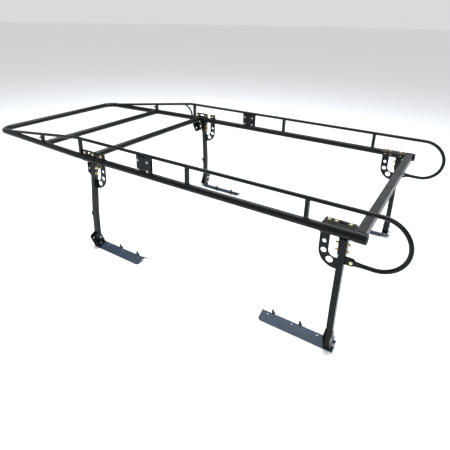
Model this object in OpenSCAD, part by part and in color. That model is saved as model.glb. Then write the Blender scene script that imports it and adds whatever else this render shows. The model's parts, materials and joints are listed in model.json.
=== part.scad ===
// Over-cab ladder rack for a pickup truck bed.
// +X points to the rear of the truck, +Y to its right-hand side, +Z up.
// The origin is on the ground under the middle of the rack.

/* [Frame] */
// Height of the main rail axis above the ground
rail_z = 780; // [720:1:860]
// Distance of each main rail axis from the centreline
rail_half = 780; // [720:1:860]
// Distance of the front bar's corners from the centreline
hoop_half = 722; // [680:1:760]
// Distance of the front bar from the middle of the rack
hoop_reach = 1844; // [1800:1:1950]
// Outer diameter of the main tubes
rail_d = 50.8; // [48:0.1:52]
// Outer diameter of the upper rails
upper_d = 25.4; // [24:0.1:28]
// Height of the upper rail axis above the main rail axis
upper_rise = 150; // [140:1:170]
// Wall of every tube
wall = 2.1; // [1.6:0.1:3]
// Diameter of the guard loop at the rear end, on its axis
loop_d = 315; // [300:1:330]

/* [Legs and feet] */
// Outer size of the square legs
leg_w = 38.1; // [36:0.1:40]
// Place of the front legs along the rack
leg_front_x = -455; // [-470:1:-440]
// Place of the rear legs along the rack
leg_rear_x = 1530; // [1520:1:1540]
// Distance of the lower half of each leg from the centreline
foot_half = 803; // [795:1:810]
// Tilt of a foot plate at rest
foot_tilt = 22; // [15:1:24]
// Length of a foot plate
foot_len = 496; // [460:1:510]
// Width of a foot plate
foot_w = 80; // [76:1:90]

/* [Crossbars] */
// Place of the crossbar inside the front hoop
bar_front_x = -1115; // [-1150:1:-1080]
// Place of the crossbar at the front legs
bar_mid_x = -507; // [-512:1:-500]
// Height of that crossbar above the main rail axis
bar_mid_rise = 9; // [0:1:12]
// Place of the square crossbar at the rear ends
bar_rear_x = 1605; // [1603:1:1607]

/* [Hidden] */
$fn = 48;

coat = "#1b1c1e";
zinc = "#cdbb7d";
vinyl = "#0c0c0d";

LEFT = -1;
RIGHT = 1;
FRONT = 0;
REAR = 1;

rail_r = rail_d / 2;
upper_r = upper_d / 2;
upper_z = rail_z + upper_rise;
gap = 0.2;               // between pieces that touch without moving
run = 0.3;               // between pieces that move on each other
weld_step = 0.04;        // a bend's wall is this much inside the wall it runs into
weld_lap = 80;           // and it runs in by this angle times its radius, 1.4 mm

// Lengthwise stations
taper_x = -660;          // ahead of this the rails close in
hoop_end_x = -620;
splice_x = 92;
rail_end_x = 1638;
upper_knee_x = -632;
upper_start_x = -1720;
upper_slope = 0.1276;    // fall of the upper rail ahead of its knee
post_xs = [-588, 471, 1306];
splice_post_gap = 44;    // each splice post stands this far from the joint
loop_r = loop_d / 2;
loop_x = hoop_reach + rail_r - upper_r - loop_r;
loop_tail_x = 1612;      // the tube is flattened ahead of this
loop_bolt_x = 1583;

bolt_r = 5;
hole_r = bolt_r + run;
head_af = 17;
head_h = 6.4;
nut_h = 8;

post_w = 24;
post_wall = 2;
plate_t = 3;             // splice plates
steel_t = 4;             // clamps, ears and foot plates
gusset_t = 5;

clamp_r = rail_r + gap + steel_t;
clamp_flange = [66, 80]; // reach of the front and rear clamps' flanges from the rail axis
clamp_bolt_out = [46, 48];
clamp_gap = 4;           // slit between the two flanges

leg_top_z = rail_z - clamp_r - 1.4;
leg_knee_z = 640;
leg_heel_z = 330;
leg_wall = 2.6;
leg_bolt_zs = [715, 671];
leg_foot_z = 26;

arm_out = 106;           // axis of the corner gusset's arm from the leg
arm_w = 56;

foot_out = 33;           // outboard edge of the foot plate from its pivot
foot_drop = 28;          // top of the foot plate below its pivot
foot_lip = 25;
foot_heel = 35;          // plate behind the leg
foot_lip_start = 34;
foot_bolt_gap = 58;      // clamp bolt above the pivot bolt
foot_pivot_z = foot_out * sin(foot_tilt) + (foot_drop + steel_t) * cos(foot_tilt);
foot_slot = [-24, 13];   // ends of the ears' arc slot, from straight up, outboard positive
foot_hole_r = 5;
foot_hole_xs = [80, 247, 414];
foot_stud_xs = [200, 387];

sleeve_r = 31.75;
rear_bar_w = 50.8;
rear_bar_z = rail_z + sleeve_r - rear_bar_w / 2 - 1.5;

function leg_x(e) = e == FRONT ? leg_front_x : leg_rear_x;
function taper_half(x) = x > taper_x ? rail_half
    : rail_half - (rail_half - hoop_half) * (taper_x - x) / (taper_x + hoop_reach);
function upper_at(x) = x > upper_knee_x ? upper_z : upper_z - upper_slope * (upper_knee_x - x);
upper_start = [upper_start_x, taper_half(upper_start_x), upper_at(upper_start_x)];

// ---- placing ----

module on_side(s) { mirror([0, s == LEFT ? 1 : 0, 0]) children(); }

// A leg's own frame: +X along the gusset arm, +Y outboard, Z above the ground
module at_corner(e, s) {
    on_side(s) translate([leg_x(e), 0, 0]) mirror([e == REAR ? 1 : 0, 0, 0]) children();
}

module both_sides() { for (s = [LEFT, RIGHT]) on_side(s) children(); }

// A foot's own frame, level, with its pivot at the origin
module at_foot(e, s) {
    at_corner(e, s) translate([0, foot_half, foot_pivot_z]) rotate([-foot_tilt, 0, 0]) children();
}

module along_x(x0, x1, y, z) { translate([x0, y, z]) rotate([0, 90, 0]) linear_extrude(x1 - x0) children(); }

// ---- stock shapes ----

module ring(ro, ri) {
    difference() {
        circle(ro);
        circle(ri);
    }
}

// A solid bar between two points, used to cope the ends of other pieces
module bar(p, q, r) {
    v = q - p;
    translate(p) rotate([0, acos(v.z / norm(v)), atan2(v.y, v.x)]) cylinder(h = norm(v), r = r);
}

function rounded(v) = round(v * 100) / 100;
function tail(list) = [for (i = [1:1:len(list) - 1]) list[i]];

// A tube that leaves the origin along +Z and turns towards +X after each of its lengths.
// Each bend is a hair thinner than the lengths and runs a little way into their walls.
module bent_tube(lengths, turns, radii, ro, ri) {
    linear_extrude(lengths[0]) ring(ro, ri);
    if (len(turns) > 0)
        translate([radii[0], 0, lengths[0]]) {
            rotate([90, 0, 180]) rotate([0, 0, -weld_lap / radii[0]])
                rotate_extrude(angle = turns[0] + 2 * weld_lap / radii[0])
                translate([radii[0], 0]) ring(ro - weld_step, ri + weld_step);
            rotate([0, turns[0], 0]) translate([-radii[0], 0, 0])
                bent_tube(tail(lengths), tail(turns), tail(radii), ro, ri);
        }
}

// A bolt along Z through a stack of the given grip, head up, with washers, collars and nut
module bolt(grip, tail, collar = 0) {
    washer_h = 1.6;
    washer_r = 10 + collar / 4;
    seat = grip / 2 + washer_h + collar;
    module stack() {
        translate([0, 0, grip / 2]) cylinder(h = washer_h, r = washer_r);
        if (collar > 0) translate([0, 0, grip / 2 + washer_h]) cylinder(h = collar, r = 8.6);
    }
    stack();
    translate([0, 0, seat]) cylinder(h = head_h, r = head_af / sqrt(3), $fn = 6);
    translate([0, 0, -seat - tail]) cylinder(h = seat + tail + grip / 2 + 0.5, r = bolt_r);
    difference() {
        union() {
            mirror([0, 0, 1]) stack();
            translate([0, 0, -seat - nut_h]) cylinder(h = nut_h, r = head_af / sqrt(3), $fn = 6);
        }
        translate([0, 0, -seat - nut_h - 1]) cylinder(h = nut_h + collar + 6, r = bolt_r + 0.05);
    }
}

module bolt_hole(len) { translate([0, 0, -len / 2]) cylinder(h = len, r = hole_r); }

// Solid copies of the tubes, a little fat, that other pieces are coped to
module rail_core(r) { bar([upper_knee_x - 60, rail_half, rail_z], [rail_end_x, rail_half, rail_z], r); }

module hoop_core(r) {
    bar([-hoop_reach, hoop_half, rail_z], [taper_x, rail_half, rail_z], r);
}

module upper_core(r) {
    bar(upper_start, [upper_knee_x, rail_half, upper_z], r);
    bar([upper_knee_x, rail_half, upper_z], [loop_x, rail_half, upper_z], r);
}

// ---- main tubes ----

module front_hoop() {
    corner_r = 115;
    taper_r = 300;
    taper = atan((rail_half - hoop_half) / (taper_x + hoop_reach));
    corner = 90 - taper;
    taper_cut = taper_r * tan(taper / 2);
    corner_cut = corner_r * tan(corner / 2);
    end = rounded(hoop_end_x - taper_x - taper_cut);
    side = rounded(norm([taper_x + hoop_reach, rail_half - hoop_half]) - taper_cut - corner_cut);
    front = rounded(2 * (hoop_half - corner_cut));
    color(coat) translate([hoop_end_x, -rail_half, rail_z]) rotate([-90, 0, 0]) rotate([0, -90, 0])
        bent_tube([end, side, front, side, end], [taper, corner, corner, taper],
            [taper_r, corner_r, corner_r, taper_r], rail_r, rail_r - wall);
}

module rail_front(s) {
    color(coat) on_side(s) along_x(hoop_end_x + gap, splice_x - gap / 2, rail_half, rail_z)
        ring(rail_r, rail_r - wall);
}

module rail_rear(s) {
    color(coat) on_side(s) along_x(splice_x + gap / 2, rail_end_x, rail_half, rail_z)
        ring(rail_r, rail_r - wall);
}

// Short tubes inside the joints of the rails
module joint_sleeves(x, y, z, reach, ro) {
    color("dimgray") both_sides() along_x(x - reach, x + reach, y, z) ring(ro, ro - wall);
}

module hoop_splices() {
    color("dimgray") both_sides() along_x(hoop_end_x - 30, hoop_end_x + 60, rail_half, rail_z)
        ring(rail_r - wall - gap, rail_r - 2 * wall - gap);
}

module rail_splices() { joint_sleeves(splice_x, rail_half, rail_z, 75, rail_r - wall - gap); }

module upper_splices() { joint_sleeves(splice_x, rail_half, upper_z, 60, upper_r - wall - gap); }

module upper_front(s) {
    knee_r = 400;
    fall = upper_start - [upper_knee_x, rail_half, upper_z];
    turn = acos(-fall.x / norm(fall));
    cut = knee_r * tan(turn / 2);
    color(coat) on_side(s) difference() {
        translate([splice_x - gap / 2, rail_half, upper_z]) rotate([atan2(-fall.y, fall.z), 0, 0])
            rotate([0, -90, 0]) bent_tube(
                [rounded(splice_x - gap / 2 - upper_knee_x - cut), rounded(norm(fall) - cut)],
                [turn], [knee_r], upper_r, upper_r - wall);
        hoop_core(rail_r + 0.1);
    }
}

module upper_rear(s) {
    tail_h = 32;
    tail_w = 5;
    nose_x = loop_bolt_x - 16;
    low_z = upper_z - loop_d;
    color(coat) on_side(s) {
        along_x(splice_x + gap / 2, loop_x, rail_half, upper_z) ring(upper_r, upper_r - wall);
        translate([loop_x, rail_half, upper_z - loop_r]) rotate([90, 0, 0]) rotate([0, 0, -90])
            rotate_extrude(angle = 180) translate([loop_r, 0]) ring(upper_r, upper_r - wall);
        along_x(loop_tail_x + 30, loop_x, rail_half, low_z) ring(upper_r, upper_r - wall);
        difference() {
            union() {
                hull() {
                    along_x(loop_tail_x + 29, loop_tail_x + 30, rail_half, low_z) circle(upper_r, $fn = 32);
                    translate([loop_tail_x - 1, rail_half - tail_w / 2, low_z - tail_h / 2])
                        cube([1, tail_w, tail_h]);
                }
                translate([loop_bolt_x, rail_half - tail_w / 2, low_z - tail_h / 2])
                    cube([loop_tail_x - 1 - loop_bolt_x, tail_w, tail_h]);
                translate([loop_bolt_x, rail_half + tail_w / 2, low_z]) rotate([90, 0, 0])
                    cylinder(h = tail_w, r = tail_h / 2);
            }
            translate([loop_bolt_x, rail_half, low_z]) rotate([90, 0, 0]) bolt_hole(30);
        }
    }
}

// ---- posts and the plates over the rail joints ----

module post(x) {
    y = taper_half(x);
    difference() {
        translate([x - post_w / 2, y - post_w / 2, rail_z]) cube([post_w, post_w, upper_at(x) - rail_z]);
        translate([x - post_w / 2 + post_wall, y - post_w / 2 + post_wall, rail_z - 1])
            cube([post_w - 2 * post_wall, post_w - 2 * post_wall, upper_at(x) - rail_z + 2]);
        if (x < taper_x) hoop_core(rail_r + 0.1);
        else rail_core(rail_r + 0.1);
        if (x == bar_front_x) bar([x, 0, rail_z], [x, y, rail_z], rail_r + 0.1);
        upper_core(upper_r + 0.1);
    }
}

splice_bolt_zs = [rail_z + 41, rail_z + 108];

module splice_places() {
    for (x = [splice_x - splice_post_gap, splice_x + splice_post_gap], z = splice_bolt_zs)
        translate([x, rail_half, z]) rotate([-90, 0, 0]) children();
}

module posts(s) {
    color(coat) on_side(s) {
        post(bar_front_x);
        for (x = post_xs) post(x);
        difference() {
            for (x = [splice_x - splice_post_gap, splice_x + splice_post_gap]) post(x);
            splice_places() bolt_hole(60);
        }
    }
}

module splice_plate() {
    w = 126;
    low = rail_z + 22.6;
    high = upper_z - 6;
    notch_w = 56;
    notch_h = 7;
    translate([0, plate_t, 0]) rotate([90, 0, 0]) linear_extrude(plate_t) difference() {
        translate([-w / 2, low]) square([w, high - low]);
        translate([-notch_w / 2, low - 1]) square([notch_w, notch_h + 1]);
        translate([-notch_w / 2, high - notch_h]) square([notch_w, notch_h + 1]);
    }
}

module splice_plates(s) {
    color(coat) on_side(s) difference() {
        for (y = [rail_half + post_w / 2 + 0.1, rail_half - post_w / 2 - 0.1 - plate_t])
            translate([splice_x, y, 0]) splice_plate();
        splice_places() bolt_hole(60);
    }
}

module splice_bolts() {
    color(zinc) both_sides() splice_places() bolt(post_w + 2 * plate_t + 0.4, 11);
}

// ---- crossbars ----

module crossbar_front() {
    color(coat) difference() {
        translate([bar_front_x, -rail_half, rail_z]) rotate([-90, 0, 0]) linear_extrude(2 * rail_half)
            ring(rail_r, rail_r - wall);
        both_sides() hoop_core(rail_r + 0.1);
        both_sides() translate([bar_front_x - 60, taper_half(bar_front_x), rail_z - 60]) cube(120);
    }
}

module crossbar_mid() {
    color(coat) difference() {
        translate([bar_mid_x, -rail_half, rail_z + bar_mid_rise]) rotate([-90, 0, 0])
            linear_extrude(2 * rail_half) ring(rail_r, rail_r - wall);
        both_sides() rail_core(clamp_r + 0.1);
        both_sides() translate([bar_mid_x - 60, rail_half, rail_z - 60]) cube(120);
        both_sides() translate([bar_mid_x - 60, rail_half - clamp_r - 0.1, rail_z]) cube(120);
    }
}

module rear_crossbar() {
    inner = rear_bar_w - 2 * wall;
    color("#3b3d40") difference() {
        translate([bar_rear_x - rear_bar_w / 2, -rail_half, rear_bar_z - rear_bar_w / 2])
            cube([rear_bar_w, 2 * rail_half, rear_bar_w]);
        translate([bar_rear_x - inner / 2, -rail_half - 1, rear_bar_z - inner / 2])
            cube([inner, 2 * rail_half + 2, inner]);
        both_sides() rear_sleeve_core();
    }
}

module rear_sleeve_core() {
    bar([bar_rear_x - 60, rail_half, rail_z], [bar_rear_x + 60, rail_half, rail_z], sleeve_r + 0.1);
    translate([bar_rear_x - 60, rail_half, rail_z - 60]) cube(120);
}

module rear_bar_sleeves() {
    color(coat) both_sides() along_x(1577, 1646, rail_half, rail_z) ring(sleeve_r, rail_r + run);
}

// ---- clamps round the rails ----

// Flanged wrap round the rail from x0 to x1, with its flanges pointing inboard
module wrap(e, x0, x1, bolts, window) {
    low = clamp_slit[e];
    high = low + clamp_gap;
    reach = clamp_flange[e];
    difference() {
        union() {
            along_x(x0, x1, 0, 0) circle(clamp_r);
            for (z = [low - steel_t, high]) translate([x0, -reach, z]) cube([x1 - x0, reach, steel_t]);
        }
        along_x(x0 - 1, x1 + 1, 0, 0) circle(rail_r + gap);
        translate([x0 - 1, -reach - 1, low]) cube([x1 - x0 + 2, reach + 1, clamp_gap]);
        for (x = bolts) translate([x, -clamp_bolt_out[e], low]) bolt_hole(40);
        if (len(window) == 2)
            translate([window[0], -clamp_bolt_out[e] - 9, low - 30]) cube([window[1] - window[0], 18, 60]);
    }
}

clamp_turn = [-90, 0];                       // flanges stand up at the front legs
// Underside of the slit between the flanges: on the rail's axis in front, under its top behind
clamp_slit = [-clamp_gap / 2, clamp_r - steel_t - clamp_gap];
wide_span = [[-100, 36], [-42, 76]];         // in each leg's frame
wide_bolts = [[-79, 14], [66, -13]];
wide_window = [[-58, -7], [14, 50]];

module on_rail(e) { translate([0, rail_half, rail_z]) rotate([clamp_turn[e], 0, 0]) children(); }

module rail_clamp(e, s) {
    cheek_h = 98;
    cheek_y = leg_w + 8;
    color(coat) at_corner(e, s) {
        difference() {
            union() {
                on_rail(e) wrap(e, wide_span[e][0], wide_span[e][1], wide_bolts[e], wide_window[e]);
                difference() {
                    for (m = [0, 1]) mirror([m, 0, 0])
                        translate([leg_w / 2 + gap, rail_half - cheek_y / 2, rail_z - cheek_h - 30])
                            cube([steel_t, cheek_y, cheek_h + 20]);
                    along_x(-60, 60, rail_half, rail_z) circle(rail_r + gap);
                }
            }
            for (z = leg_bolt_zs) translate([0, rail_half, z]) rotate([0, 90, 0]) bolt_hole(80);
        }
    }
}

// Plate with a curved elbow that ties the arm's clamp to the leg
module elbow_outline() {
    top = rail_z - clamp_r + 1;
    outer_r = 104;
    inner_r = 40;
    face = leg_w / 2 + gap;
    arm_in = arm_out - arm_w / 2;
    arm_ex = arm_out + arm_w / 2;
    elbow_z = 650;
    difference() {
        union() {
            translate([face, elbow_z]) square([arm_ex - face, top - elbow_z]);
            intersection() {
                translate([arm_ex - outer_r, elbow_z]) circle(outer_r);
                translate([face, elbow_z - outer_r - 1]) square([outer_r * 2, outer_r + 1]);
            }
        }
        translate([face - 1, elbow_z + 6]) square([arm_in - face + 1, top - elbow_z]);
        intersection() {
            translate([arm_in - inner_r, elbow_z + 6]) circle(inner_r);
            translate([face - 1, elbow_z - 60]) square([arm_in - face + 1, 67]);
        }
        translate([face - 1, elbow_z + 6 - inner_r]) square([arm_in - inner_r - face + 1, inner_r]);
        translate([arm_out, 700]) circle(12);
        translate([arm_out - 2, 642]) circle(16.5);
        translate([66, 593]) circle(20.5);
    }
}

module corner_gusset(e, s) {
    color(coat) at_corner(e, s) {
        on_rail(e) wrap(e, arm_out - arm_w / 2, arm_out + arm_w / 2, [arm_out], []);
        difference() {
            translate([0, rail_half + gusset_t / 2, 0]) rotate([90, 0, 0]) linear_extrude(gusset_t)
                elbow_outline();
            along_x(0, 200, rail_half, rail_z) circle(rail_r + gap);
        }
    }
}

// Plates under the crossbar at the front legs, just ahead of each leg
module cross_gussets() {
    low = 657;
    top = rail_z - clamp_r - gap;
    color(coat) both_sides() difference() {
        translate([bar_mid_x - gusset_t / 2, 0, 0]) rotate([90, 0, 90])
            linear_extrude(gusset_t) difference() {
            union() {
                polygon([[rail_half + 8, low], [rail_half + 15, low + 10], [rail_half + 15, top], [634, top],
                    [640, top - 18], [678, low + 10], [690, low]]);
                translate([634, top - 1]) square([110, 18]);
            }
            for (y = [698, 776]) translate([y, 699]) circle(11);
        }
        translate([bar_mid_x, 0, rail_z + bar_mid_rise]) rotate([-90, 0, 0])
            cylinder(h = 900, r = rail_r + 0.1);
    }
}

module clamp_bolts() {
    grip = 2 * steel_t + clamp_gap + 0.2;
    color(zinc) for (e = [FRONT, REAR], s = [LEFT, RIGHT]) at_corner(e, s)
        on_rail(e) for (x = [wide_bolts[e][0], wide_bolts[e][1], arm_out])
            translate([x, -clamp_bolt_out[e], clamp_slit[e] + clamp_gap / 2]) bolt(grip, 12);
}

// ---- legs ----

// Side profile of a leg, w wide, in the plane across the truck
module leg_profile(w) {
    h = w / 2;
    polygon([[rail_half - h, leg_top_z], [rail_half - h, leg_knee_z], [foot_half - h, leg_heel_z],
        [foot_half - h, leg_foot_z], [foot_half + h, leg_foot_z], [foot_half + h, leg_heel_z],
        [rail_half + h, leg_knee_z], [rail_half + h, leg_top_z]]);
}

module foot_bolt_places() {
    for (z = [0, foot_bolt_gap]) translate([0, foot_half, foot_pivot_z + z]) rotate([0, 90, 0]) children();
}

module leg(e, s) {
    inner = leg_w - 2 * leg_wall;
    color(coat) at_corner(e, s) difference() {
        translate([-leg_w / 2, 0, 0]) rotate([90, 0, 90]) linear_extrude(leg_w) leg_profile(leg_w);
        difference() {
            translate([-inner / 2, 0, 0]) rotate([90, 0, 90]) linear_extrude(inner) leg_profile(inner);
            translate([-50, 700, leg_top_z - 3]) cube([100, 200, 10]);
        }
        for (z = leg_bolt_zs) translate([0, rail_half, z]) rotate([0, 90, 0]) bolt_hole(80);
        foot_bolt_places() bolt_hole(80);
    }
}

module leg_bolts() {
    color(zinc) for (e = [FRONT, REAR], s = [LEFT, RIGHT], z = leg_bolt_zs)
        at_corner(e, s) translate([0, rail_half, z]) rotate([0, -90, 0])
            bolt(leg_w + 2 * (steel_t + gap) + 0.2, 12, 7);
}

module foot_bolts() {
    color(zinc) for (e = [FRONT, REAR], s = [LEFT, RIGHT])
        at_corner(e, s) foot_bolt_places() bolt(leg_w + 2 * (steel_t + 2 * run), 14);
}

// ---- loop ends ----

loop_tab_y = rail_half - 2.5 - gap - gusset_t;

module loop_tabs() {
    low_z = upper_z - loop_d;
    face = leg_rear_x + leg_w / 2 + gap;
    color(coat) both_sides() difference() {
        translate([0, loop_tab_y + gusset_t, 0]) rotate([90, 0, 0]) linear_extrude(gusset_t) union() {
            translate([face, low_z - 26]) square([loop_bolt_x - face, 52]);
            translate([loop_bolt_x, low_z]) circle(26);
        }
        translate([loop_bolt_x, rail_half, low_z]) rotate([90, 0, 0]) bolt_hole(60);
    }
}

module loop_bolts() {
    color(zinc) both_sides() translate([loop_bolt_x, (loop_tab_y + rail_half + 2.5) / 2, upper_z - loop_d])
        rotate([-90, 0, 0]) bolt(2 * gusset_t + 2 * gap + 0.2, 12);
}

// ---- hooks and straps ----

module tie_hooks() {
    t = 4;
    w = 22;
    face = leg_w / 2 + gap;
    color(coat) for (s = [LEFT, RIGHT]) at_corner(FRONT, s)
        translate([0, foot_half + w / 2, 0]) rotate([90, 0, 0]) linear_extrude(w) polygon([
            [-face, 204], [-face, 268], [-face - 21, 321], [-face - 25.5, 319], [-face - t, 264],
            [-face - t, 222], [-face - 9, 216], [-face - 9, 208]]);
}

module front_hooks() {
    t = 5;
    x = bar_front_x - post_w / 2 - gap;
    y = taper_half(bar_front_x);
    z0 = rail_z + 27;
    color(coat) both_sides() translate([0, y + t / 2, 0]) rotate([90, 0, 0]) linear_extrude(t) difference() {
        polygon([[x, z0], [x, z0 + 36], [x - 12, z0 + 36], [x - 36, z0 + 30], [x - 36, z0 + 18],
            [x - 14, z0 + 18], [x - 14, z0]]);
        translate([x - 25, z0 + 25]) circle(2.6);
    }
}

// Curved flat bar on the right side, from the upper rail down to the main rail
module curved_strap() {
    w = 24;
    r = 125;
    t = 4;
    bottom_x = -622;
    color(coat) difference() {
        translate([bottom_x - r, rail_half - w / 2, rail_z + 10]) rotate([-90, 0, 0]) rotate([0, 0, -72])
            rotate_extrude(angle = 72) translate([r - t, 0]) square([t, w]);
        rail_core(rail_r + 0.1);
        upper_core(upper_r + 0.1);
        translate([-800, rail_half - 40, upper_z - 18]) cube([220, 80, 100]);
        translate([-800, rail_half - 40, rail_z - 60]) cube([400, 80, 60]);
    }
}

// ---- feet ----

module foot(e, s) {
    far = foot_len - foot_heel;
    corner = 22;
    in_y = foot_out - foot_w;
    color("#20252b") at_foot(e, s) difference() {
        union() {
            translate([0, 0, -foot_drop - steel_t]) linear_extrude(steel_t) union() {
                translate([-foot_heel, in_y]) square([foot_len - corner, foot_w]);
                translate([-foot_heel, in_y]) square([foot_len, foot_w - corner]);
                translate([far - corner, foot_out - corner]) circle(corner);
            }
            translate([foot_lip_start, in_y, -foot_drop - foot_lip])
                cube([far - foot_lip_start, steel_t, foot_lip]);
        }
        for (x = foot_hole_xs) translate([x, in_y + 16, -foot_drop - steel_t - 5])
            cylinder(h = steel_t + 10, r = foot_hole_r);
    }
}

function arc(centre, r, from, to, steps) = [for (i = [0:steps])
    let (a = from + (to - from) * i / steps) centre + r * [cos(a), sin(a)]];

// Curved slot about the pivot, with round ends
module arc_slot() {
    low = 90 - foot_slot[1];
    high = 90 - foot_slot[0];
    inner = arc([0, 0], foot_bolt_gap - hole_r, high, low, 8);
    polygon(concat(
        arc([0, 0], foot_bolt_gap + hole_r, low, high, 8),
        tail(arc(foot_bolt_gap * [cos(high), sin(high)], hole_r, high, high + 168, 14)),
        inner,
        tail(arc(foot_bolt_gap * [cos(low), sin(low)], hole_r, low + 180, low + 348, 14))));
}

// Outline of an ear, outboard positive, with its pivot hole and arc slot
module ear_outline() {
    in_y = foot_out - foot_w;
    low = -foot_drop + gap;
    difference() {
        polygon([[foot_out, low], [foot_out, 92], [foot_out - 8, 100], [-30, 104], [in_y, 78], [in_y, low]]);
        circle(hole_r);
        arc_slot();
    }
}

module foot_ears(e, s) {
    face = leg_w / 2 + run;
    color(coat) at_foot(e, s) for (x = [face, -face - steel_t])
        translate([x, 0, 0]) rotate([90, 0, 90]) linear_extrude(steel_t) ear_outline();
}

// Threaded studs behind the lip, each with its dog; the front feet carry a short rod too
stud_y = foot_out - foot_w - 9;

module foot_studs(e, s) {
    color(zinc) at_foot(e, s) {
        for (x = foot_stud_xs) translate([x, stud_y, 0]) {
            translate([0, 0, -foot_drop - 22]) cylinder(h = 36, r = 4);
            difference() {
                translate([-10, -8, -foot_drop - 20]) cube([20, 16.8, 12]);
                translate([0, 0, -foot_drop - 21]) cylinder(h = 14, r = 4.05);
            }
        }
        if (e == FRONT) translate([foot_len - foot_heel - 14, stud_y + 4.6, -foot_drop - 8])
            rotate([0, 90, 0]) cylinder(h = 46, r = 4);
    }
}

module foot_caps(e, s) {
    color(vinyl) at_foot(e, s) for (x = foot_stud_xs) translate([x, stud_y, -foot_drop - 6]) difference() {
        union() {
            cylinder(h = 25, r = 8.5);
            translate([0, 0, 25]) cylinder(h = 4, r1 = 8.5, r2 = 5);
        }
        translate([0, 0, -1]) cylinder(h = 22, r = 4.1);
    }
}

// ---- drawing ----

front_hoop();
rail_front(LEFT);  // rail_front_left
rail_front(RIGHT);  // rail_front_right
rail_rear(LEFT);  // rail_rear_left
rail_rear(RIGHT);  // rail_rear_right
hoop_splices();
rail_splices();
upper_splices();
upper_front(LEFT);  // upper_front_left
upper_front(RIGHT);  // upper_front_right
upper_rear(LEFT);  // upper_rear_left
upper_rear(RIGHT);  // upper_rear_right
posts(LEFT);  // posts_left
posts(RIGHT);  // posts_right
splice_plates(LEFT);  // splice_plates_left
splice_plates(RIGHT);  // splice_plates_right
splice_bolts();
crossbar_front();
crossbar_mid();
rear_crossbar();
rear_bar_sleeves();
rail_clamp(FRONT, LEFT);  // rail_clamp_front_left
rail_clamp(FRONT, RIGHT);  // rail_clamp_front_right
rail_clamp(REAR, LEFT);  // rail_clamp_rear_left
rail_clamp(REAR, RIGHT);  // rail_clamp_rear_right
corner_gusset(FRONT, LEFT);  // corner_gusset_front_left
corner_gusset(FRONT, RIGHT);  // corner_gusset_front_right
corner_gusset(REAR, LEFT);  // corner_gusset_rear_left
corner_gusset(REAR, RIGHT);  // corner_gusset_rear_right
cross_gussets();
clamp_bolts();
leg(FRONT, LEFT);  // leg_front_left
leg(FRONT, RIGHT);  // leg_front_right
leg(REAR, LEFT);  // leg_rear_left
leg(REAR, RIGHT);  // leg_rear_right
leg_bolts();
loop_tabs();
loop_bolts();
tie_hooks();
front_hooks();
curved_strap();
foot_bolts();
foot(FRONT, LEFT);  // foot_front_left
foot(FRONT, RIGHT);  // foot_front_right
foot(REAR, LEFT);  // foot_rear_left
foot(REAR, RIGHT);  // foot_rear_right
foot_ears(FRONT, LEFT);  // foot_ears_front_left
foot_ears(FRONT, RIGHT);  // foot_ears_front_right
foot_ears(REAR, LEFT);  // foot_ears_rear_left
foot_ears(REAR, RIGHT);  // foot_ears_rear_right
foot_studs(FRONT, LEFT);  // foot_studs_front_left
foot_studs(FRONT, RIGHT);  // foot_studs_front_right
foot_studs(REAR, LEFT);  // foot_studs_rear_left
foot_studs(REAR, RIGHT);  // foot_studs_rear_right
foot_caps(FRONT, LEFT);  // foot_caps_front_left
foot_caps(FRONT, RIGHT);  // foot_caps_front_right
foot_caps(REAR, LEFT);  // foot_caps_rear_left
foot_caps(REAR, RIGHT);  // foot_caps_rear_right
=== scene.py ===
"""Looks of the ladder rack: materials, weld beads, threads, leg plugs, stage, light and camera."""
import json
import math

import bpy
from mathutils import Matrix, Vector


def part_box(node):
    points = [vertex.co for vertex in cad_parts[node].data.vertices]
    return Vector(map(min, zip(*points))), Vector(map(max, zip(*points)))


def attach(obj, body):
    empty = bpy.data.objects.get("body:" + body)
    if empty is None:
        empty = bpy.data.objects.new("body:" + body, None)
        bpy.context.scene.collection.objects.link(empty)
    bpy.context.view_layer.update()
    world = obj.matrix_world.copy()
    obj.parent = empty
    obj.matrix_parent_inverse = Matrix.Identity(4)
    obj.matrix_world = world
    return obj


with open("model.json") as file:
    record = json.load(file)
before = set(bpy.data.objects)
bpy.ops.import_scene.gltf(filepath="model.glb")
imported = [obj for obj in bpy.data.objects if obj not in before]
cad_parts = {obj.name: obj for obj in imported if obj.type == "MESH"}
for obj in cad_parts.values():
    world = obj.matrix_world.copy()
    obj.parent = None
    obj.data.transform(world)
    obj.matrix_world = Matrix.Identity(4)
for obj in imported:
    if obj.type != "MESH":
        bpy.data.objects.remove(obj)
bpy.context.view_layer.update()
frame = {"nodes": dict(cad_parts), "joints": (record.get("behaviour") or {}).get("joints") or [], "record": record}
nodes = frame["nodes"]
SIDES = {"left": -1, "right": 1}
CORNERS = [(end, side) for end in ("front", "rear") for side in SIDES]
MM = 0.001


# ---- places, read from the frame ----

def centre(name):
    low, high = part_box(name)
    return (Vector(low) + Vector(high)) / 2


def low_of(name):
    return Vector(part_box(name)[0])


def high_of(name):
    return Vector(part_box(name)[1])


rail = centre("rail_rear_right")
rail_half = rail.y
rail_z = rail.z
rail_r = (high_of("rail_rear_right").z - low_of("rail_rear_right").z) / 2
upper_r = (high_of("upper_rear_right").y - low_of("upper_rear_right").y) / 2
upper_z = high_of("upper_rear_right").z - upper_r
clamp_r = high_of("rail_clamp_rear_right").z - rail_z
hoop_x = low_of("front_hoop").x + rail_r

# Places that the boxes don't give directly.
hoop_half = 722 * MM                     # half width of the hoop at its front bar
taper_x = -660 * MM                      # where the hoop's sides begin to close in
upper_knee_x = -632 * MM                 # where the upper rails begin to slope down
upper_slope = 0.1276                     # their fall for each metre ahead of the knee
on_slope_x = -1300 * MM                  # a place between the knee and the hoop
post_xs = [x * MM for x in (-1115, -588, 48, 136, 471, 1306)]
leg_foot_y = 803 * MM                    # the legs' lower ends, from the centreline
bar_inside_y = 0.6                       # a place on every crossbar, inboard of both rails
foot_rest_tilt = math.radians(-22)       # inboard edge up, as in the photo


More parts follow.
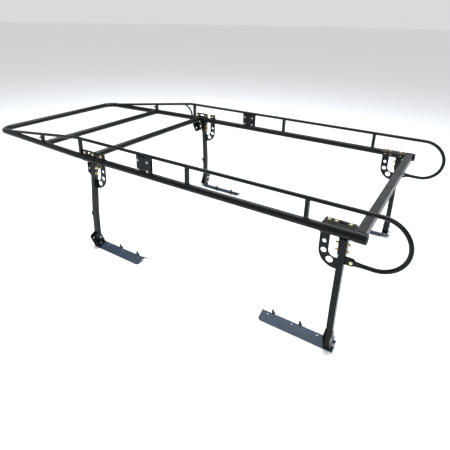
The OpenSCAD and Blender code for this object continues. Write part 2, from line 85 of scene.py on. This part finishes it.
def taper_half(x):
    """Distance of the hoop's side tube from the centreline at x."""
    if x > taper_x:
        return rail_half
    return rail_half - (rail_half - hoop_half) * (taper_x - x) / (taper_x - hoop_x)


def upper_height(x):
    """Height of the upper rails' axis at x."""
    return upper_z if x > upper_knee_x else upper_z - upper_slope * (upper_knee_x - x)


# ---- materials ----

CHIP_COLOUR = (0.05, 0.048, 0.046)
GRIME_COLOUR = (0.12, 0.1, 0.07)


def new_material(name):
    mat = bpy.data.materials.new(name)
    mat.use_nodes = True
    tree = mat.node_tree
    return mat, tree, tree.nodes["Principled BSDF"]


def add(tree, kind, inputs=(), **values):
    node = tree.nodes.new("ShaderNode" + kind)
    for key, value in values.items():
        setattr(node, key, value)
    for key, value in dict(inputs).items():
        node.inputs[key].default_value = value
    return node


def noise(tree, scale, detail, stretch=(1, 1, 1), distortion=0.0):
    """Noise over the object's own coordinates, in metres."""
    place = add(tree, "TexCoord")
    mapping = add(tree, "Mapping", {"Scale": stretch})
    texture = add(tree, "TexNoise", {"Scale": scale, "Detail": detail, "Distortion": distortion})
    tree.links.new(place.outputs["Object"], mapping.inputs["Vector"])
    tree.links.new(mapping.outputs["Vector"], texture.inputs["Vector"])
    return texture.outputs["Fac"]


def ramp(tree, value, low, high, out_low, out_high):
    node = add(tree, "MapRange", {"From Min": low, "From Max": high, "To Min": out_low, "To Max": out_high})
    tree.links.new(value, node.inputs["Value"])
    return node.outputs["Result"]


def blend_colour(tree, factor, first, second):
    """first and second are colours or sockets."""
    node = add(tree, "Mix", data_type="RGBA")
    tree.links.new(factor, node.inputs["Factor"])
    for socket, value in ((node.inputs[6], first), (node.inputs[7], second)):
        if isinstance(value, tuple):
            socket.default_value = value + (1,)
        else:
            tree.links.new(value, socket)
    return node.outputs[2]


def bumps(tree, layers, shader):
    """Chains (height, strength, distance) layers into the shader's normal."""
    previous = None
    for height, strength, distance in layers:
        node = add(tree, "Bump", {"Strength": strength, "Distance": distance})
        tree.links.new(height, node.inputs["Height"])
        if previous:
            tree.links.new(previous, node.inputs["Normal"])
        previous = node.outputs["Normal"]
    tree.links.new(previous, shader.inputs["Normal"])


def powder_coat(name, colour, dusty, rough, scuff_along=(1, 1, 1), scuffs=0.02, chips=0.72):
    """Baked powder coat: fine orange peel, handling dust, faint scuffs and a few tiny chips."""
    mat, tree, shader = new_material(name)
    dust = ramp(tree, noise(tree, 7, 6, distortion=0.6), 0.42, 0.72, 0, 1)
    scratch = ramp(tree, noise(tree, 90, 5, scuff_along, 0.3), 0.58, 0.74, 0, 1)
    chip = ramp(tree, noise(tree, 160, 3), chips, chips + 0.02, 0, 1)
    base = blend_colour(tree, dust, colour, dusty)
    scuffed = tuple(min(1, c * 1.6 + scuffs / 2) for c in dusty)
    base = blend_colour(tree, ramp(tree, scratch, 0, 1, 0, 0.35), base, scuffed)
    base = blend_colour(tree, chip, base, CHIP_COLOUR)
    tree.links.new(base, shader.inputs["Base Color"])
    patchy = ramp(tree, noise(tree, 22, 4), 0.3, 0.7, rough - 0.05, rough + 0.09)
    worn = add(tree, "Math", operation="MULTIPLY_ADD")
    worn.inputs[1].default_value = 0.16
    tree.links.new(scratch, worn.inputs[0])
    tree.links.new(patchy, worn.inputs[2])
    tree.links.new(worn.outputs[0], shader.inputs["Roughness"])
    shader.inputs["Specular IOR Level"].default_value = 0.18
    shader.inputs["Coat Weight"].default_value = 0.03
    shader.inputs["Coat Roughness"].default_value = 0.14
    bumps(tree, [(noise(tree, 420, 2), 0.22, 0.0004), (noise(tree, 60, 3), 0.08, 0.0008)], shader)
    return mat


def plated(name, colour, other, rough, grain=(1, 1, 1)):
    """Plated or bare steel with drifting tint and a fine machined grain."""
    mat, tree, shader = new_material(name)
    tint = ramp(tree, noise(tree, 75, 3, distortion=0.8), 0.35, 0.68, 0, 1)
    grime = ramp(tree, noise(tree, 140, 4), 0.55, 0.75, 0, 0.7)
    base = blend_colour(tree, tint, colour, other)
    tree.links.new(blend_colour(tree, grime, base, GRIME_COLOUR), shader.inputs["Base Color"])
    patchy = ramp(tree, noise(tree, 300, 3), 0.3, 0.7, rough - 0.08, rough + 0.12)
    tree.links.new(patchy, shader.inputs["Roughness"])
    shader.inputs["Metallic"].default_value = 1
    bumps(tree, [(noise(tree, 700, 2, grain), 0.25, 0.0003)], shader)
    return mat


def moulded(name, colour, rough):
    """Moulded black plastic with a matt grain."""
    mat, tree, shader = new_material(name)
    tone = ramp(tree, noise(tree, 120, 4), 0.3, 0.7, 0, 1)
    paler = tuple(c * 1.7 for c in colour)
    tree.links.new(blend_colour(tree, tone, colour, paler), shader.inputs["Base Color"])
    patchy = ramp(tree, noise(tree, 260, 2), 0.3, 0.7, rough - 0.08, rough + 0.1)
    tree.links.new(patchy, shader.inputs["Roughness"])
    bumps(tree, [(noise(tree, 900, 2), 0.3, 0.0003)], shader)
    return mat


ALONG_X = (0.06, 1, 1)
ALONG_Y = (1, 0.06, 1)
coat = powder_coat("black_coat", (0.0014, 0.0012, 0.0011), (0.0032, 0.0031, 0.0032), 0.24, ALONG_X)
# foot_coat's blue-grey colours are painted highlight: the black coat lightened and tinted blue, as the overhead
# light shows on the foot plates' upward faces
foot_coat = powder_coat("foot_coat", (0.026, 0.037, 0.055), (0.036, 0.05, 0.072), 0.3, ALONG_X, 0.03)
worn_coat = powder_coat("worn_coat", (0.009, 0.0092, 0.0098), (0.024, 0.0245, 0.026), 0.36,
                        ALONG_Y, 0.03, 0.7)
weld_coat = powder_coat("weld_coat", (0.003, 0.003, 0.003), (0.008, 0.008, 0.0085), 0.3)
zinc = plated("yellow_zinc", (0.78, 0.66, 0.36), (0.66, 0.62, 0.4), 0.34)
bare_steel = plated("bare_steel", (0.5, 0.5, 0.5), (0.38, 0.37, 0.36), 0.4, (0.05, 1, 1))
plastic = moulded("black_plastic", (0.012, 0.012, 0.012), 0.55)
SLOT_MATERIALS = {"coat": coat, "foot_coat": foot_coat, "worn_coat": worn_coat, "zinc": zinc,
                  "bare_steel": bare_steel, "cap": plastic}


def paint_nodes():
    """Gives each CAD node the material of its slot in the record."""
    for row in frame["record"]["subparts"]:
        node = nodes[row["node"]]
        for holder in node.material_slots:
            holder.material = SLOT_MATERIALS[row["material_slot"]]


# ---- mesh helpers ----

def make(name, verts, faces, material, body):
    mesh = bpy.data.meshes.new(name)
    mesh.from_pydata([tuple(v) for v in verts], [], faces)
    mesh.polygons.foreach_set("use_smooth", [True] * len(mesh.polygons))
    mesh.materials.append(material)
    piece = bpy.data.objects.new(name, mesh)
    bpy.context.scene.collection.objects.link(piece)
    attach(piece, body)
    return piece


class Beads:
    """Rippled weld beads gathered into one mesh."""
    pitch = 3.2 * MM                     # one ripple of the weld pool
    around = 7
    ripple_height = 0.16                 # as a share of the radius
    waver = 0.05                         # slow drift of the radius, as a share of it

    def __init__(self):
        self.verts = []
        self.faces = []

    def add(self, path, radius=2.6 * MM, closed=False):
        points = resample(path, self.pitch / 3, closed)
        count = len(points)
        first = len(self.verts)
        for i, point in enumerate(points):
            ahead = points[(i + 1) % count] if closed or i < count - 1 else points[i]
            behind = points[i - 1] if closed or i else points[i]
            along = (ahead - behind).normalized()
            side = along.orthogonal().normalized()
            up = along.cross(side)
            ripple = radius * (1 + self.ripple_height * math.cos(i * math.tau / 3 + 0.4)
                               + self.waver * math.sin(i * 0.61))
            if not closed:
                ripple *= min(1, 0.35 + 0.4 * min(i, count - 1 - i))
            for k in range(self.around):
                a = math.tau * k / self.around
                self.verts.append(point + ripple * (math.cos(a) * side + math.sin(a) * up))
        self.skin(first, count, closed)

    def skin(self, first, count, closed):
        n = self.around
        for i in range(count if closed else count - 1):
            here = first + i * n
            there = first + (i + 1) % count * n
            turn = self.best_turn(here, there) if closed and i == count - 1 else 0
            for k in range(n):
                a, b = (k + 1) % n, (k + 1 + turn) % n
                self.faces.append((here + k, here + a, there + b, there + (k + turn) % n))
        if not closed:
            self.faces.append(tuple(first + k for k in reversed(range(n))))
            self.faces.append(tuple(first + (count - 1) * n + k for k in range(n)))

    def best_turn(self, here, there):
        n = self.around
        return min(range(n), key=lambda t: sum(
            (self.verts[here + k] - self.verts[there + (k + t) % n]).length for k in range(n)))

    def done(self, name, body):
        return make(name, self.verts, self.faces, weld_coat, body)


def resample(path, step, closed):
    """Points a step apart along a path."""
    corners = [Vector(p) for p in path]
    if closed:
        corners.append(corners[0])
    points = [corners[0]]
    for a, b in zip(corners, corners[1:]):
        parts = max(1, round((b - a).length / step))
        points += [a.lerp(b, i / parts) for i in range(1, parts + 1)]
    return points[:-1] if closed else points


def meet(start, direction, axis_point, axis, radius):
    """Where a ray first meets a cylinder, or its nearest approach if it misses."""
    d = direction - direction.dot(axis) * axis
    w = start - axis_point
    w -= w.dot(axis) * axis
    a, b, c = d.dot(d), 2 * d.dot(w), w.dot(w) - radius * radius
    root = max(b * b - 4 * a * c, 0)
    return start + direction * ((-b - math.sqrt(root)) / (2 * a))


def circle_outline(centre_point, along, radius, count=40):
    side = along.orthogonal().normalized()
    up = along.cross(side)
    return [centre_point + radius * (math.cos(math.tau * k / count) * side
                                     + math.sin(math.tau * k / count) * up) for k in range(count)]


def square_outline(centre_point, half, u, v, per_side=6):
    corners = [centre_point + half * (a * u + b * v) for a, b in ((-1, -1), (1, -1), (1, 1), (-1, 1))]
    return [a.lerp(b, k / per_side) for a, b in zip(corners, corners[1:] + corners[:1])
            for k in range(per_side)]


X, Y, Z = Vector((1, 0, 0)), Vector((0, 1, 0)), Vector((0, 0, 1))


def side_line(side):
    """Where the hoop's side tube begins to close in, and its direction from there."""
    s = SIDES[side]
    hoop_point = Vector((taper_x, s * rail_half, rail_z))
    hoop_axis = Vector((hoop_x - taper_x, s * (hoop_half - rail_half), 0)).normalized()
    return hoop_point, hoop_axis


# ---- weld beads ----

def weld_posts():
    post_half = 12 * MM
    for side, s in SIDES.items():
        beads = Beads()
        hoop_point, hoop_axis = side_line(side)
        for x in post_xs:
            foot = Vector((x, s * taper_half(x), rail_z))
            top_z = upper_height(x)
            middle = Vector((x, foot.y, (rail_z + top_z) / 2))
            outline = square_outline(middle, post_half, X, Y)
            axis = hoop_axis if x < taper_x else X
            at = hoop_point if x < taper_x else foot
            beads.add([meet(p, -Z, at, axis, rail_r) for p in outline], closed=True)
            beads.add([meet(p, Z, Vector((x, foot.y, top_z)), X, upper_r) for p in outline],
                      2.0 * MM, closed=True)
        beads.done(f"post_welds_{side}", "rack")


def weld_crossbars():
    clear = 0.4 * MM
    beads = Beads()
    for side, s in SIDES.items():
        hoop_point, hoop_axis = side_line(side)
        bar = centre("crossbar_front")
        start = Vector((bar.x, s * bar_inside_y, bar.z))
        outline = circle_outline(start, Y, rail_r)
        beads.add([meet(p, s * Y, hoop_point, hoop_axis, rail_r + clear) for p in outline], closed=True)
        mid = centre("crossbar_mid")
        outline = circle_outline(Vector((mid.x, s * bar_inside_y, mid.z)), Y, rail_r)
        beads.add([meet(p, s * Y, Vector((mid.x, s * rail_half, rail_z)), X, clamp_r + clear)
                   if p.z < rail_z else Vector((p.x, s * (rail_half - clamp_r), p.z)) for p in outline],
                  closed=True)
    beads.done("crossbar_welds", "rack")


def weld_rear_bar():
    beads = Beads()
    low, high = low_of("rear_crossbar"), high_of("rear_crossbar")
    bar = centre("rear_crossbar")
    sleeve_r = high_of("rear_bar_sleeves").z - rail_z
    half = (high.x - low.x) / 2
    for s in SIDES.values():
        outline = square_outline(Vector((bar.x, s * bar_inside_y, bar.z)), half, X, Z, 8)
        beads.add([meet(p, s * Y, Vector((bar.x, s * rail_half, rail_z)), X, sleeve_r) for p in outline],
                  2.4 * MM, closed=True)
    beads.done("rear_bar_welds", "rear_bar")


def weld_upper_starts():
    for side, s in SIDES.items():
        beads = Beads()
        hoop_point, hoop_axis = side_line(side)
        close_in = (hoop_half - rail_half) / (taper_x - hoop_x)
        direction = Vector((-1, s * close_in, -upper_slope)).normalized()
        start = Vector((on_slope_x, s * taper_half(on_slope_x), upper_height(on_slope_x)))
        outline = circle_outline(start, direction, upper_r, 48)
        beads.add([meet(p, direction, hoop_point, hoop_axis, rail_r) for p in outline], 2.2 * MM, closed=True)
        beads.done(f"upper_start_welds_{side}", "rack")


def weld_line(beads, a, b, offset, radius=2.4 * MM):
    """Fillets down both sides of a plate's edge."""
    for sign in (-1, 1):
        beads.add([Vector(a) + sign * Vector(offset), Vector(b) + sign * Vector(offset)], radius)


def weld_legs():
    """Gussets to legs and clamps, cheeks to wraps, hooks to front legs and tabs to rear legs."""
    half_plate = 3.3 * MM
    face = 19.4 * MM                     # just proud of a leg's face
    cheek_out = 4.4 * MM                 # a cheek's outer face, from there
    gusset_low, gusset_high = 0.549, 0.613
    gusset_near, gusset_far = 80 * MM, 132 * MM
    hook_welds = (0.204, 0.268)
    hook_half = 10 * MM
    tab_half, tab_inset = 2.5 * MM, 4 * MM
    cheek_arc = range(42, 139, 6)        # degrees, round the rail's underside
    for end, side in CORNERS:
        beads = Beads()
        s = SIDES[side]
        leg = centre(f"leg_{end}_{side}")
        direction = 1 if end == "front" else -1
        x = leg.x + direction * face
        y = s * rail_half
        weld_line(beads, (x, y, gusset_low), (x, y, gusset_high), (0, half_plate, 0))
        top = rail_z - clamp_r
        far = leg.x + direction * gusset_far
        near = leg.x + direction * gusset_near
        weld_line(beads, (near, y, top), (far, y, top), (0, half_plate, 0))
        for sign in (-1, 1):
            cheek = leg.x + sign * (face + cheek_out)
            arc = [Vector((cheek, y + clamp_r * math.cos(a), rail_z + clamp_r * math.sin(a)))
                   for a in (math.radians(180 + d) for d in cheek_arc)]
            beads.add(arc)
        if end == "front":
            hook_x = leg.x - face
            out = s * leg_foot_y
            for z in hook_welds:
                beads.add([Vector((hook_x, out - hook_half, z)), Vector((hook_x, out + hook_half, z))])
        if end == "rear":
            low, high = low_of("loop_tabs"), high_of("loop_tabs")
            tab_y = s * (high.y - tab_half)
            x = leg.x + face
            tab_low, tab_high = low.z + tab_inset, high.z - tab_inset
            weld_line(beads, (x, tab_y, tab_low), (x, tab_y, tab_high), (0, half_plate, 0))
        beads.done(f"leg_welds_{end}_{side}", "rack")


def weld_cross_gussets():
    plate_half = 3 * MM
    bead_off = 3.2 * MM
    inner, outer = 0.637, 0.742
    beads = Beads()
    bar = centre("crossbar_mid")
    for s in SIDES.values():
        z = bar.z - math.sqrt(rail_r ** 2 - plate_half ** 2)
        weld_line(beads, (bar.x, s * inner, z), (bar.x, s * outer, z), (bead_off, 0, 0))
    beads.done("cross_gusset_welds", "rack")


def foot_matrix(end, side):
    """The foot's own frame at rest: X along the plate, Y outboard, Z off the plate."""
    s = SIDES[side]
    joint = next(j for j in frame["joints"] if j["name"] == f"foot_{end}_{side}_tilt")
    turn = Matrix.Rotation(foot_rest_tilt, 4, "X")
    flip = Matrix.Diagonal((1 if end == "front" else -1, s, 1, 1))
    return Matrix.Translation(Vector(joint["pos_m"])) @ flip @ turn


def weld_feet():
    """Ears to plates, and short stitches where each plate meets its lip."""
    top = -28 * MM                       # the plate's upper face
    ear_x = 23.6 * MM
    ear_inboard, ear_outboard = -42 * MM, 28 * MM
    stitch_y, stitch_z = -47.6 * MM, top - 4.4 * MM
    stitch_starts, stitch_length = (46, 170, 300, 420), 26
    for end, side in CORNERS:
        place = foot_matrix(end, side)
        beads = Beads()
        for x in (-ear_x, ear_x):
            beads.add([place @ Vector((x, y, top)) for y in (ear_inboard, ear_outboard)], 2.3 * MM)
        for start in stitch_starts:
            beads.add([place @ Vector((x * MM, stitch_y, stitch_z))
                       for x in (start, start + stitch_length)], 1.8 * MM)
        beads.done(f"foot_welds_{end}_{side}", f"foot_{end}_{side}")


# ---- threads and plugs ----

def lathe(name, profile, place, material, body, count=40):
    """Turns (radius, height) points about the local Z of a placing matrix."""
    verts = [place @ Vector((r * math.cos(math.tau * k / count), r * math.sin(math.tau * k / count), h))
             for r, h in profile for k in range(count)]
    faces = []
    for low in range(0, (len(profile) - 1) * count, count):
        high = low + count
        faces += [(low + k, low + (k + 1) % count, high + (k + 1) % count, high + k) for k in range(count)]
    faces.append(tuple(reversed(range(count))))
    faces.append(tuple((len(profile) - 1) * count + k for k in range(count)))
    make(name, verts, faces, material, body)


def thread_profile(radius, start, length, pitch, depth):
    """Ridges of a thread as a lathe profile."""
    points = [(radius, start)]
    for i in range(int(length / pitch)):
        h = start + i * pitch
        points += [(radius + depth, h + 0.35 * pitch), (radius, h + 0.85 * pitch)]
    return points + [(radius * 0.8, start + length)]


def stud_threads():
    """Thread on the stretch of each stud that shows between its dog and the cap."""
    stud_xs = (200, 387)
    stud_y, thread_z = -56, -54
    profile = thread_profile(3.9 * MM, 0, 5 * MM, 1.25 * MM, 0.35 * MM)
    for end, side in CORNERS:
        place = foot_matrix(end, side)
        for number, x in enumerate(stud_xs, 1):
            at = place @ Matrix.Translation(Vector((x, stud_y, thread_z)) * MM)
            lathe(f"stud_thread_{end}_{side}_{number}", profile, at, coat, f"foot_{end}_{side}")


def leg_plugs():
    """Ribbed plastic plugs in the open lower ends of the legs."""
    ribs = [(3.4, 16), (3.0, 12), (3.4, 8), (3.0, 4)]
    cap = [(2.9, 0.4), (0.8, 0), (0.3, -0.8), (0.8, -2.2), (3.0, -2.8)]
    rings = ribs + cap                   # inset from the leg's face and height, in mm
    for end, side in CORNERS:
        low, high = low_of(f"leg_{end}_{side}"), high_of(f"leg_{end}_{side}")
        x = (low.x + high.x) / 2
        y = SIDES[side] * leg_foot_y
        half = (high.x - low.x) / 2
        verts = [Vector((x + a * (half - inset * MM), y + b * (half - inset * MM), low.z + h * MM))
                 for inset, h in rings for a, b in ((-1, -1), (1, -1), (1, 1), (-1, 1))]
        faces = [(i * 4 + k, i * 4 + (k + 1) % 4, i * 4 + 4 + (k + 1) % 4, i * 4 + 4 + k)
                 for i in range(len(rings) - 1) for k in range(4)]
        faces += [(3, 2, 1, 0), tuple(len(verts) - 4 + k for k in range(4))]
        plug = make(f"leg_plug_{end}_{side}", verts, [f[::-1] for f in faces], plastic, "rack")
        plug.data.polygons.foreach_set("use_smooth", [False] * len(plug.data.polygons))


# ---- stage ----

def floor():
    half = 60
    z = -0.4 * MM
    corners = [(-half, -half, z), (half, -half, z), (half, half, z), (-half, half, z)]
    mesh = bpy.data.meshes.new("floor")
    mesh.from_pydata(corners, [], [(0, 1, 2, 3)])
    ground = bpy.data.objects.new("floor", mesh)
    mat, _, shader = new_material("floor")
    shader.inputs["Base Color"].default_value = (0.9, 0.9, 0.9, 1)
    shader.inputs["Roughness"].default_value = 0.9
    mesh.materials.append(mat)
    bpy.context.scene.collection.objects.link(ground)


def light(name, place, target, size, power):
    data = bpy.data.lights.new(name, "AREA")
    data.shape = "RECTANGLE"
    data.size, data.size_y = size
    data.energy = power
    data.color = (0.88, 0.94, 1)
    lamp = bpy.data.objects.new(name, data)
    lamp.location = place
    lamp.rotation_euler = (Vector(target) - Vector(place)).to_track_quat("-Z", "Y").to_euler()
    bpy.context.scene.collection.objects.link(lamp)


def surroundings():
    world = bpy.data.worlds.new("world")
    world.use_nodes = True
    background = world.node_tree.nodes["Background"]
    background.inputs["Color"].default_value = (0.97, 0.98, 1, 1)
    background.inputs["Strength"].default_value = 0.72
    bpy.context.scene.world = world
    light("overhead", (0, 0.8, 4.8), (0, 0, 0.6), (6.5, 4.4), 470)
    light("key", (3.4, -3.6, 3.6), (0, 0, 0.6), (2.6, 2.6), 50)


def camera():
    """Lens, place and turn fitted to where the rack's rails, legs and feet are in the photo."""
    eye_place = (1.9618, -2.7598, 1.8832)
    yaw, pitch, roll = (math.radians(a) for a in (-33.3, -21.0, 0.8))
    ahead = Vector((math.sin(yaw) * math.cos(pitch), math.cos(yaw) * math.cos(pitch), math.sin(pitch)))
    right = Vector((math.cos(yaw), -math.sin(yaw), 0))
    up = right.cross(ahead)
    right, up = (math.cos(roll) * right + math.sin(roll) * up, -math.sin(roll) * right + math.cos(roll) * up)
    data = bpy.data.cameras.new("camera")
    data.sensor_width = 36
    data.lens = 32.2
    data.shift_x = 0.031
    data.shift_y = -0.131
    data.clip_end = 60
    eye = bpy.data.objects.new("camera", data)
    eye.matrix_world = Matrix.Translation(eye_place) @ Matrix((right, up, -ahead)).transposed().to_4x4()
    bpy.context.scene.collection.objects.link(eye)
    bpy.context.scene.camera = eye


camera()
surroundings()
floor()
paint_nodes()
weld_posts()
weld_crossbars()
weld_rear_bar()
weld_upper_starts()
weld_legs()
weld_cross_gussets()
weld_feet()
stud_threads()
leg_plugs()
bpy.context.scene.view_settings.view_transform = "Standard"
